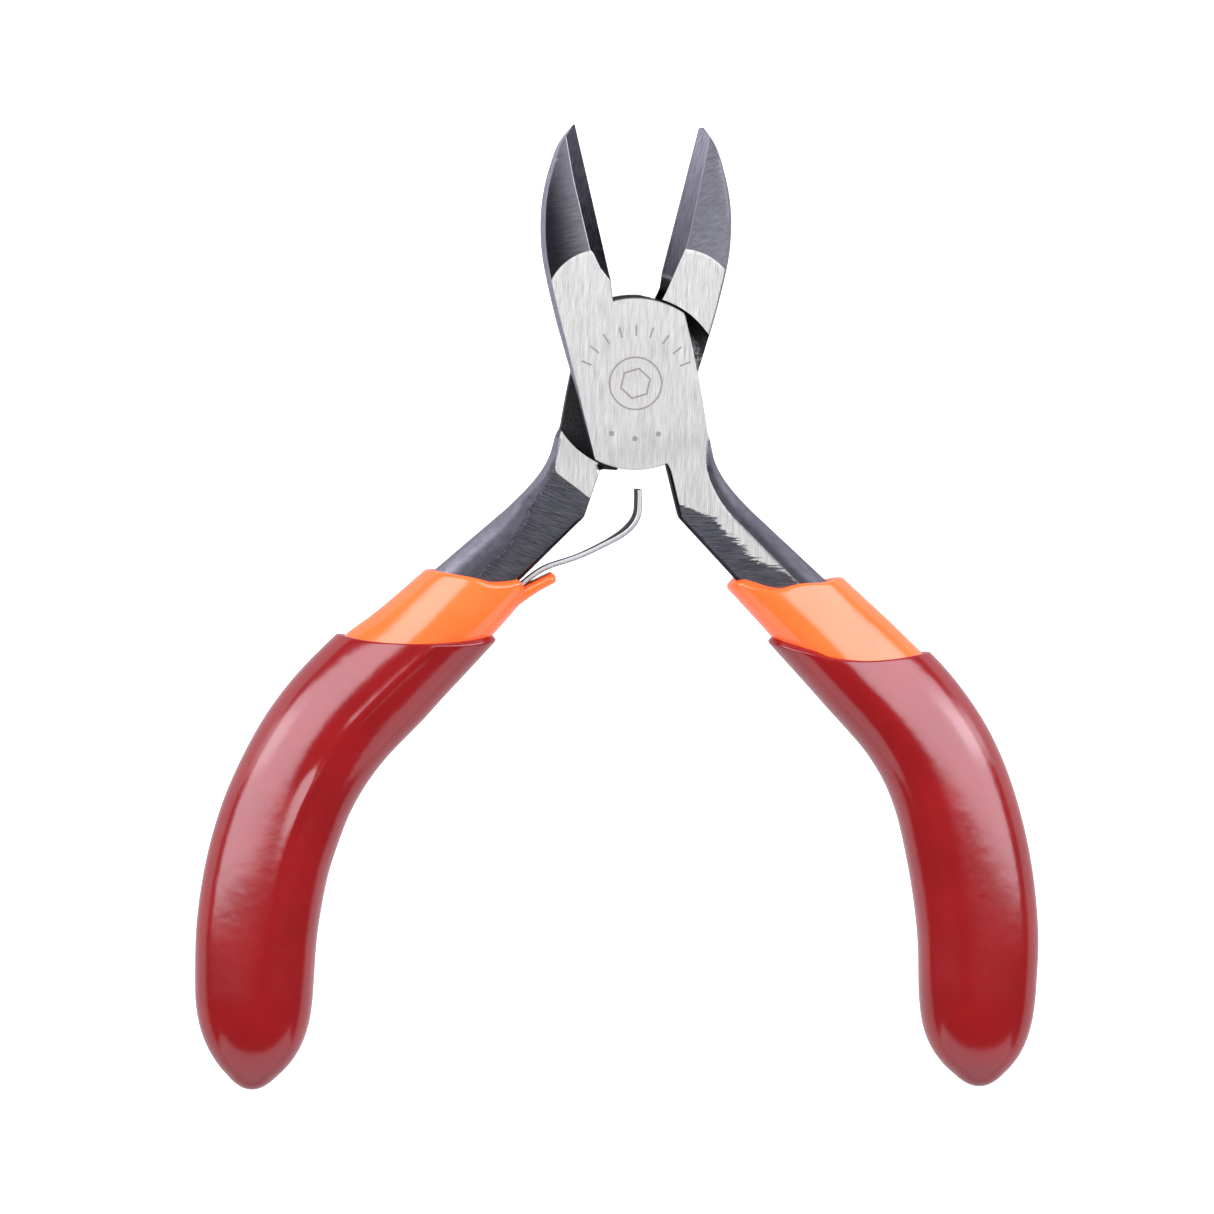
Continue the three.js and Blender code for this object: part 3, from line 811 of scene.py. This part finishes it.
def tongue():
    """The rounded lip of the left sleeve that reaches along the spring's foot."""
    path = resampled(spline(TONGUE_LINE, 12), 0.25)
    t = np.linspace(0, 1, len(path))
    wide = np.interp(t, np.linspace(0, 1, len(TONGUE_HALVES)), TONGUE_HALVES)
    past = np.clip((t - TONGUE_END) / (1 - TONGUE_END), 0, 1)
    closing = np.sqrt(1 - past**2)
    u, v = ring_shape(TONGUE_SIDES, 3)
    points = []
    for spot, side, w, c in list(zip(path, normals_of(path), wide, closing))[:-1]:
        flat = spot + side * (u * w * max(c, 0.05))[:, None]
        points.append(np.column_stack([flat, MID + v * TONGUE_DEPTH * (0.55 + 0.45 * c)]))
    faces = ring_faces(len(points), TONGUE_SIDES) + pole_faces(len(points), TONGUE_SIDES)
    points = np.vstack([*points, [(*path[0], MID)], [(*path[-1], MID)]])
    piece = new_object("tongue", points, faces, crease=60)
    outward(piece)
    return piece


# ---------- spring, rivet and marks ----------

SPRING_LINE = [(8.7, -28.6), (7.35, -26.2), (6.2, -24.3), (4.48, -22.43), (1.58, -20.56), (-0.53, -18.89),
               (-2.59, -16.96), (-3.6, -15.5), (-3.92, -14.2), (-3.7, -12.8), (-3.38, -11.5)]
SPRING_THICK = 0.58
SPRING_DEPTH = 3.4
SPRING_CORNER = 0.16
SPRING_TWIST = [(0, 2), (0.5, 2.5), (0.66, 1), (0.8, -4), (1, -4)]  # degrees it leans, along its length


def spring(finish):
    """The leaf strip, with rounded corners, from inside its sleeve to its free end."""
    path = resampled(spline(SPRING_LINE, 14), 0.18)
    normal = normals_of(path)
    half, deep, corner = SPRING_THICK / 2, SPRING_DEPTH / 2, SPRING_CORNER
    section = []
    for cx, cz, first in ((1, 1, 0), (-1, 1, 90), (-1, -1, 180), (1, -1, 270)):
        for angle in np.linspace(first, first + 90, 6):
            a = math.radians(angle)
            section.append((cx * (half - corner) + corner * math.cos(a),
                            cz * (deep - corner) + corner * math.sin(a)))
    section = np.array(section)
    twist = np.radians(read_table(np.linspace(0, 1, len(path)), SPRING_TWIST))
    points = []
    for spot, side, lean in zip(path, normal, twist):
        across = section[:, 0] * math.cos(lean) + section[:, 1] * math.sin(lean)
        up = section[:, 1] * math.cos(lean) - section[:, 0] * math.sin(lean)
        points.append(np.column_stack([spot + side * across[:, None], MID + up]))
    sides, count = len(section), len(path)
    points = np.vstack(points)
    faces = ring_faces(count, sides)
    faces += [tuple(range(sides)), tuple((count - 1) * sides + k for k in range(sides))]
    piece = new_object("leaf_spring", points, faces, crease=40)
    outward(piece)
    set_attribute(piece.data, "edge", np.tile(deep - np.abs(section[:, 1]), count))
    settle(piece, REAR)
    piece.data.materials.append(finish)
    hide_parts("return_spring")
    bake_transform(piece)


def rivet(finish):
    """The joint's pin, with a flush countersunk head at each end."""
    head, neck, shank = RIVET_HEAD, RIVET_HEAD_DEPTH, BORE - 0.02
    profile = [(0, 0), (head * 0.6, 0), (head, 0), (shank, neck), (shank, THICK - neck), (head, THICK),
               (head * 0.6, THICK), (0, THICK)]
    piece = lathe("joint_rivet", [(r * MM, z * MM) for r, z in profile], 96)
    piece.data.materials.append(finish)
    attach(piece, "rear_half")
    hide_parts("pivot_rivet")


MARK_WIDTH = 0.2
MARK_RISE = 0.012
MARK_ROOT = 0.05
TICKS = 9
TICK_REACH = (5.3, 6.5)
TICK_ARC = (22, 158)  # degrees about the pivot, from the right side
DOT_PLACE = ((-2.6, -5.6), (0, -6.15), (2.6, -5.6))
DOT_RADIUS = 0.3
RING_RADIUS = 2.9
HEXAGON_RADIUS = 1.7


def prism(outline, low, high):
    """Points and faces of a low upright solid on an outline."""
    count = len(outline)
    points = [(x, y, z) for z in (low, high) for x, y in outline]
    caps = [tuple(reversed(range(count))), tuple(range(count, 2 * count))]
    return points, caps + ring_faces(2, count)


def loop_line(outer, inner, low, high):
    """Points and faces of a low upright band between two outlines of the same count."""
    lines = ((outer, low), (outer, high), (inner, high), (inner, low))
    points = [(x, y, z) for line, z in lines for x, y in line]
    return points, [tuple(i % len(points) for i in face) for face in ring_faces(5, len(outer))]


def mark(name, parts, body, finish):
    """One piece of several thin solids, in millimetres at rest."""
    points, faces = [], []
    for more_points, more_faces in parts:
        start = len(points)
        points += [tuple(c * MM for c in p) for p in more_points]
        faces += [tuple(start + i for i in f) for f in more_faces]
    piece = new_object(name, points, faces)
    outward(piece)
    piece.data.materials.append(finish)
    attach(piece, body)


def marks(finish):
    """Plain etched decoration on the joint: an arc of ticks, three dots, and a ring with a hexagon."""
    low, high = THICK - MARK_ROOT, THICK + MARK_RISE
    parts = []
    for angle in np.radians(np.linspace(*TICK_ARC, TICKS)):
        out = np.array([math.cos(angle), math.sin(angle)])
        side = np.array([-out[1], out[0]]) * MARK_WIDTH / 2
        near, far = (out * r for r in TICK_REACH)
        parts.append(prism([near - side, far - side, far + side, near + side], low, high))
    for spot in DOT_PLACE:
        parts.append(prism(arc(DOT_RADIUS, 0, 2 * math.pi, 25)[:-1] + spot, low, high))
    mark("face_ticks", parts, "front_half", finish)
    parts = []
    for radius, corners in ((RING_RADIUS, 72), (HEXAGON_RADIUS, 6)):
        wide = MARK_WIDTH / 2 / math.cos(math.pi / corners)
        outline = arc(1, 0.3, 0.3 + 2 * math.pi, corners + 1)[:-1]
        parts.append(loop_line(outline * (radius + wide), outline * (radius - wide), low, high))
    mark("rivet_emblem", parts, "rear_half", finish)


# ---------- finishes ----------


class Shader:
    """Short calls for a node tree of one principled material."""

    def __init__(self, name):
        self.material = bpy.data.materials.new(name)
        self.material.use_nodes = True
        self.tree = self.material.node_tree
        self.bsdf = self.tree.nodes["Principled BSDF"]
        self.place = self.node("ShaderNodeTexCoord").outputs["Object"]

    def node(self, kind, inputs=(), **settings):
        made = self.tree.nodes.new(kind)
        for key, value in settings.items():
            setattr(made, key, value)
        for key, value in dict(inputs).items():
            self.join(value, made.inputs[key])
        return made

    def join(self, value, socket):
        if isinstance(value, bpy.types.NodeSocket):
            self.tree.links.new(value, socket)
        else:
            socket.default_value = value

    def set(self, **inputs):
        for key, value in inputs.items():
            self.join(value, self.bsdf.inputs[key.replace("_", " ")])

    def scaled(self, size, turn=0.0):
        """The place in units of size millimetres along x, y and z, turned about Z first."""
        spun = self.node("ShaderNodeVectorRotate", {"Vector": self.place, "Angle": turn},
                         rotation_type="Z_AXIS").outputs[0]
        scale = tuple(1 / (s * MM) for s in size)
        return self.node("ShaderNodeMapping", {"Vector": spun, "Scale": scale}).outputs[0]

    def noise(self, size, turn=0.0, detail=2.0, rough=0.5):
        sockets = {"Vector": self.scaled(size, turn), "Scale": 1.0, "Detail": detail, "Roughness": rough}
        return self.node("ShaderNodeTexNoise", sockets).outputs["Fac"]

    def math(self, operation, a, b=0.0):
        made = self.node("ShaderNodeMath", operation=operation)
        self.join(a, made.inputs[0])
        self.join(b, made.inputs[1])
        return made.outputs[0]

    def span(self, value, low, high, to_low=0.0, to_high=1.0, soft=False):
        """value mapped from low..high to to_low..to_high, and held there outside it."""
        kind = "SMOOTHSTEP" if soft else "LINEAR"
        sockets = {"Value": value, "From Min": low, "From Max": high, "To Min": to_low, "To Max": to_high}
        return self.node("ShaderNodeMapRange", sockets, interpolation_type=kind).outputs[0]

    def mix(self, share, a, b):
        made = self.node("ShaderNodeMix", data_type="RGBA")
        self.join(share, made.inputs[0])
        self.join(a, made.inputs[6])
        self.join(b, made.inputs[7])
        return made.outputs[2]

    def attribute(self, name):
        return self.node("ShaderNodeAttribute", attribute_name=name).outputs["Fac"]

    def times(self, a, b):
        return self.math("MULTIPLY", a, b)

    def around(self, value, reach):
        """A noise value from 0 to 1 turned into one about zero, reach wide."""
        return self.times(self.math("SUBTRACT", value, 0.5), reach)

    def finished(self, colour, metal, rough, height, depth, **others):
        """The material, with these inputs and a surface relief of depth millimetres."""
        sockets = {"Height": height, "Distance": depth * MM, "Strength": 1.0}
        relief = self.node("ShaderNodeBump", sockets).outputs[0]
        self.set(Base_Color=colour, Metallic=metal, Roughness=rough, Normal=relief, **others)
        return self.material


GRIND_DEPTH = 0.028  # relief of the bright face's lines
GROUND_GLINT = (0.5, 0.5, 0.55, 1)  # tint of the steel's reflection at a low angle
BEVEL_GLINT = (0.12, 0.12, 0.13, 1)
VINYL_IOR = 1.55


def grey(value):
    return (value, value, value, 1)


def brush_lines(s):
    """The fine and broad grinding lines of the bright face, from 0 to 1."""
    fine = s.noise((0.07, 2.4, 1), turn=0.03, detail=3, rough=0.65)
    broad = s.noise((0.4, 9, 1), turn=-0.03, detail=2)
    return s.math("ADD", s.times(fine, 0.75), s.times(broad, 0.25))


def bright_steel(s, lines, lit_gain=1.0):
    """The ground steel's colour along its lines; a gain above 1 paints it brighter, as a painted highlight.
    """
    low, high = ((*(lit_gain * c for c in tone), 1) for tone in ((0.24, 0.245, 0.226), (0.515, 0.525, 0.488)))
    return s.mix(s.span(lines, 0.3, 0.66), low, high)


def ground_edge(s, fit, lever_y):
    """Depth inside the ground face, with its border on the tang made ragged."""
    ragged = s.noise((2.2, 0.2, 1), detail=4, rough=0.75)
    low, high = fit["ragged"]
    ragged = s.around(ragged, s.span(lever_y, -13.5, -17, low, high))
    return s.math("ADD", s.attribute("ground"), s.times(ragged, s.span(lever_y, -9, -12)))


def belt_ground_and_painted_sheen(s, fit):
    """Colour of the jaw's face, and the streaks of the belt on the tang. The front jaw's face carries a
    painted reflection, darkest at its outer side.
    """
    if fit["turned_over"]:
        streaks = s.noise((1.5, 0.075, 1), turn=0.33, detail=3, rough=0.7)
        scratch = s.noise((1.1, 0.25, 1), turn=-0.35, detail=4, rough=0.75)
        return s.mix(s.span(scratch, 0.35, 0.68), (0.068, 0.07, 0.079, 1), (0.11, 0.113, 0.125, 1)), streaks
    streaks = s.noise((2.0, 0.07, 1), turn=0.0, detail=3, rough=0.7)
    scratch = s.noise((2.2, 0.1, 1), turn=-0.22, detail=3, rough=0.7)
    # Painted reflection: on the front jaw the face is near black at its outer side and lighter towards the
    # ridge.
    shade = s.span(s.attribute("lever_x"), -6.6, -1.2, 0, 1, soft=True)
    shade = s.math("ADD", shade, s.around(scratch, 0.8))
    shade = s.math("POWER", s.math("MAXIMUM", shade, 0.0), 2.0)
    return s.mix(s.span(shade, 0, 1), (0.009, 0.009, 0.0105, 1), (0.106, 0.108, 0.119, 1)), streaks


def forged_side(s, fit, lever_y, skin, mottle, grain):
    """Colour of the forged sides, with painted light: the sides that lean outwards are painted lighter, their
    tone rising towards the outer edge as a painted highlight, and the jaw's draft at its own painted tone;
    the others dull; with bright specks.
    """
    near, far = fit["side_painted_sheen"]
    start, end = fit["side_reach"]
    # Painted highlight: the tone rises across the side towards its outer edge, and the jaw's draft gets its
    # own painted tone.
    tone = s.span(s.attribute("side_share"), start, end, near, far, soft=True)
    tone = s.span(lever_y, -6, -11, fit["draft_painted_sheen"], tone)
    tone = s.times(tone, s.span(mottle, 0.35, 0.65, 0.75, 1.25))
    channels = {"Red": tone, "Green": tone, "Blue": s.times(tone, 1.15)}
    light = s.node("ShaderNodeCombineColor", channels).outputs[0]
    dull = s.mix(s.span(mottle, 0.35, 0.65), (0.02, 0.02, 0.024, 1), (0.05, 0.05, 0.056, 1))
    side = s.mix(s.attribute("painted_lit_side"), dull, light)
    speck = s.times(s.span(s.math("ABSOLUTE", skin), 0.04, 0.12, 1, 0), s.span(grain, 0.6, 0.66))
    return s.mix(s.times(speck, 0.8), side, grey(0.75))


def body_finish(fit):
    """Bright ground face of the joint, the blued jaw and tang beside it, and the forged sides."""
    s = Shader(fit["name"] + "_steel")
    lever_y = s.attribute("lever_y")
    skin = s.attribute("skin")
    edge = ground_edge(s, fit, lever_y)
    bright = s.span(edge, -0.03, 0.03)
    tint_line = s.span(s.math("ABSOLUTE", edge), 0.02, 0.1, 1, 0)
    lines = brush_lines(s)
    # Painted highlight: the ground face on the tang is the same steel, painted 1.3 times brighter than on the
    # joint.
    steel = s.mix(s.span(lever_y, -7, -11, soft=True), bright_steel(s, lines), bright_steel(s, lines, 1.3))
    blotch = s.noise((0.8, 0.8, 0.8), detail=4, rough=0.6)
    grain = s.noise((0.1, 0.1, 0.1), detail=2)
    mottle = s.math("ADD", s.times(blotch, 0.55), s.times(grain, 0.45))
    jaw, streaks = belt_ground_and_painted_sheen(s, fit)
    tang = s.mix(s.span(streaks, 0.35, 0.66), (0.035, 0.036, 0.042, 1), (0.12, 0.125, 0.14, 1))
    dark = s.mix(s.span(lever_y, -2, 2), tang, jaw)
    dark = s.mix(s.times(tint_line, 0.45), dark, (0.2, 0.12, 0.09, 1))
    face = s.mix(bright, dark, steel)
    # Painted highlight: a thin bright line along the ridge of the bevel.
    painted_light = s.times(s.span(s.attribute("ridge"), 0.02, 0.1, 1, 0), fit["ridge_painted_glint"])
    face = s.mix(s.times(painted_light, s.span(lever_y, 11, 12)), face, grey(0.8))
    soft = s.span(lever_y, -14.5, -18, 0.03, fit["side_softness"])
    on_side = s.span(s.math("DIVIDE", skin, soft), -1, 1, soft=True)
    colour = s.mix(on_side, face, forged_side(s, fit, lever_y, skin, mottle, grain))
    rough = s.span(on_side, 0, 1, s.span(bright, 0, 1, 0.4, 0.42), 0.42)
    height = s.mix(on_side, s.mix(bright, s.times(streaks, 0.5), lines), mottle)
    return s.finished(colour, 1.0, rough, height, GRIND_DEPTH, Specular_Tint=GROUND_GLINT)


def bevel_finish(fit):
    """The ground bevel beside the cutting edge, darker on the front lever as painted shade, and the throat on
    the rear lever, painted near black as painted shade, with its burr.
    """
    s = Shader(fit["name"] + "_bevel")
    lines = s.noise((0.07, 1.6, 1), turn=0.25, detail=2)
    # One ground bevel in two tones: painted shade on the front lever's, painted light on the rear's.
    low, high = fit["bevel_painted_shades"]
    colour = s.mix(s.span(lines, 0.35, 0.65), low, high)
    if fit["turned_over"]:
        # Painted shade: the throat near the pivot goes near black.
        pits = s.noise((0.25, 0.25, 0.25), detail=4, rough=0.75)
        throat = s.math("ADD", s.attribute("lever_y"), s.around(pits, 1.5))
        throat_shade = s.mix(s.span(throat, 10.5, 11.1), grey(0.004), grey(0.13))
        colour = s.mix(s.span(throat, 12.15, 12.3), throat_shade, colour)
        off_burr = s.math("ABSOLUTE", s.math("SUBTRACT", throat, 12.3))
        colour = s.mix(s.times(s.span(off_burr, 0.1, 0.25, 1, 0), 0.8), colour, grey(0.7))
    rough = s.span(lines, 0.3, 0.7, 0.32, 0.42)
    return s.finished(colour, 1.0, rough, lines, 0.01, Specular_Tint=BEVEL_GLINT)


def lap_finish():
    """The recess that the other lever's plate turns in, black as painted shade, with a greyer textured patch
    painted as lit beyond the pivot, short of a band of painted shadow under the shoulder.
    """
    s = Shader("lap_black")
    rings = s.noise((0.4, 0.4, 0.4), detail=4, rough=0.7)
    patch = s.mix(s.span(rings, 0.42, 0.7), grey(0.02), grey(0.3))
    dark = s.mix(s.span(rings, 0.4, 0.75), grey(0.006), grey(0.03))
    radius = s.math("SQRT", s.math("ADD", s.math("POWER", s.attribute("lever_x"), 2.0),
                                   s.math("POWER", s.attribute("lever_y"), 2.0)))
    # Painted light and shade: a lit patch on the jaw side, and a band of painted shadow under the shoulder's
    # arc.
    painted_light = s.times(s.span(s.attribute("lever_y"), 1, 4), s.span(radius, 7.9, 8.4, 1, 0))
    return s.finished(s.mix(painted_light, dark, patch), 0.7, s.span(rings, 0.3, 0.7, 0.5, 0.7), rings, 0.02)


def ground_finish():
    """The bright face's steel and lines alone, for the rivet that is ground flush with it."""
    s = Shader("ground_rivet")
    lines = brush_lines(s)
    return s.finished(bright_steel(s, lines), 1.0, 0.42, lines, GRIND_DEPTH, Specular_Tint=GROUND_GLINT)


def etched_finish():
    """The grey-brown etched lines of the marks."""
    s = Shader("etched_line")
    grain = s.noise((0.06, 0.06, 0.06), detail=2)
    colour = s.mix(s.span(grain, 0.35, 0.65), (0.14, 0.128, 0.12, 1), (0.26, 0.24, 0.225, 1))
    return s.finished(colour, 0.4, s.span(grain, 0.3, 0.7, 0.5, 0.65), grain, 0.01)


def plated_finish():
    """Tempered dark faces and lighter narrow edges of the spring."""
    s = Shader("plated_spring")
    drawn = s.noise((0.08, 0.08, 0.5), detail=2)
    edge = s.math("ADD", s.attribute("edge"), s.around(drawn, 0.01))
    bright = s.mix(s.span(drawn, 0.3, 0.7), grey(0.36), grey(0.46))
    temper = s.mix(s.span(drawn, 0.3, 0.7), (0.035, 0.032, 0.026, 1), (0.075, 0.07, 0.06, 1))
    colour = s.mix(s.span(edge, 0.02, 0.06), bright, temper)
    return s.finished(colour, 1.0, s.span(drawn, 0.3, 0.7, 0.42, 0.5), drawn, 0.004)


def dip_finish(name, deep, light, rough):
    """Glossy dipped vinyl with slight flow waves in the colour, an orange peel relief, and a few specks in
    its relief and roughness.
    """
    s = Shader(name)
    cloud = s.noise((7, 7, 7), detail=3)
    orange_peel = s.noise((1.4, 1.4, 1.4), detail=1)
    specks = s.noise((0.25, 0.25, 0.25), detail=2)
    colour = s.mix(s.span(cloud, 0.3, 0.7), deep, light)
    height = s.math("ADD", s.times(orange_peel, 0.8), s.times(specks, 0.05))
    rough = s.span(specks, 0.3, 0.7, rough, rough + 0.05)
    return s.finished(colour, 0.0, rough, height, 0.02, IOR=VINYL_IOR)


# ---------- build ----------


def build():
    lap = lap_finish()
    orange = dip_finish("orange_vinyl", (0.92, 0.118, 0.02, 1), (0.95, 0.14, 0.03, 1), 0.16)
    red = dip_finish("red_vinyl", (0.166, 0.003, 0.0042, 1), (0.2, 0.0043, 0.0058, 1), 0.15)
    for fit, side in ((FRONT, "right"), (REAR, "left")):
        handle = Handle(fit)
        lever(fit, handle, [body_finish(fit), bevel_finish(fit), lap])
        sleeve = dipped(f"{side}_sleeve_dip", SLEEVE, fit, handle, orange)
        grip = dipped(f"{side}_grip_dip", GRIP, fit, handle, red)
        if fit["turned_over"]:
            combine(sleeve, tongue(), "UNION")
            soften(sleeve, 50)
        for piece, node, slot in ((sleeve, "inner_sleeve", "orange_dip"), (grip, "outer_grip", "red_dip")):
            settle(piece, fit)
            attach(piece, fit["body"])
            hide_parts(f"{side}_{node}")
    spring(plated_finish())
    rivet(ground_finish())
    marks(etched_finish())


# ---------- stage ----------


FLOOR_HALF = 3.0
FLOOR_DROP = 0.0004  # below the lowest point of the object
FLOOR_GLOW = 0.15  # what the floor gives the object, against 1 for the camera
WORLD_GLOW = 0.14
RADIANCE = 5.7
PANEL_TINT = (1.0, 0.965, 1.06)
PANELS = {  # place, point it faces, size, radiance and turn: a panel and a low skirt to each side
    "left_panel": ((-0.48, 0.28, 0.48), (0, 0.28, 0), (0.86, 0.62), RADIANCE, 90),
    "left_skirt": ((-0.94, 0.42, 0.139), (0, 0.42, 0), (1.08, 0.278), RADIANCE * 0.55, 90),
    "right_panel": ((0.45, 0.275, 0.51), (0, 0.275, 0), (0.87, 0.6), RADIANCE, 90),
    "right_skirt": ((0.94, 0.42, 0.122), (0, 0.42, 0), (1.08, 0.23), RADIANCE * 0.9, 90),
    "low_panel": ((0.0, -0.69, 0.25), (0, 0, 0), (2.0, 0.53), 1.4, 0),
}


def panel(name, place, aim, size, radiance, turn):
    light = bpy.data.lights.new(name, "AREA")
    light.shape = "RECTANGLE"
    light.size, light.size_y = size
    light.energy = radiance * math.pi * size[0] * size[1]
    light.color = PANEL_TINT
    lamp = bpy.data.objects.new(name, light)
    lamp.location = place
    facing = (Vector(aim) - Vector(place)).to_track_quat("-Z", "Y").to_matrix()
    lamp.rotation_euler = (facing @ Matrix.Rotation(math.radians(turn), 3, "Z")).to_euler()
    bpy.context.scene.collection.objects.link(lamp)


def stage():
    corners = [(x * FLOOR_HALF, y * FLOOR_HALF) for x, y in ((-1, -1), (1, -1), (1, 1), (-1, 1))]
    low = cad_box[0].z - FLOOR_DROP
    floor = new_object("floor", [(*corner, low) for corner in corners], [(0, 1, 2, 3)])
    s = Shader("pale_floor")
    s.set(Base_Color=s.mix(s.noise((40, 40, 40)), grey(0.5), grey(0.52)), Roughness=0.6)
    seen = s.node("ShaderNodeLightPath").outputs["Is Camera Ray"]
    s.set(Emission_Color=grey(1.0), Emission_Strength=s.span(seen, 0, 1, FLOOR_GLOW, 1.0))
    floor.data.materials.append(s.material)
    for name, setting in PANELS.items():
        panel(name, *setting)
    world = bpy.data.worlds.new("studio")
    world.use_nodes = True
    background = world.node_tree.nodes["Background"].inputs
    background["Color"].default_value = grey(1.0)
    background["Strength"].default_value = WORLD_GLOW
    bpy.context.scene.world = world
    bpy.context.scene.view_settings.view_transform = "Standard"


CAMERA_DISTANCE = 1.5
VIEW_WIDTH = 135.34 * MM
VIEW_CENTRE = Vector((-2.71, -25.13, 4.0)) * MM
VIEW_ROLL = math.radians(0.675)
VIEW_LEAN = (-0.0437, 0.056)  # how far the camera stands to the left and above, per unit of distance


def camera():
    data = bpy.data.cameras.new("camera")
    data.lens = data.sensor_width * CAMERA_DISTANCE / VIEW_WIDTH
    data.clip_start, data.clip_end = 0.1, 10
    made = bpy.data.objects.new("camera", data)
    back = Vector((*VIEW_LEAN, 1)).normalized()
    up = Vector((-math.sin(VIEW_ROLL), math.cos(VIEW_ROLL), 0))
    up = (up - back * up.dot(back)).normalized()
    right = up.cross(back)
    turn = Matrix((right, up, back)).transposed().to_4x4()
    made.matrix_world = Matrix.Translation(VIEW_CENTRE + back * CAMERA_DISTANCE) @ turn
    bpy.context.scene.collection.objects.link(made)
    bpy.context.scene.camera = made


camera()
stage()
build()
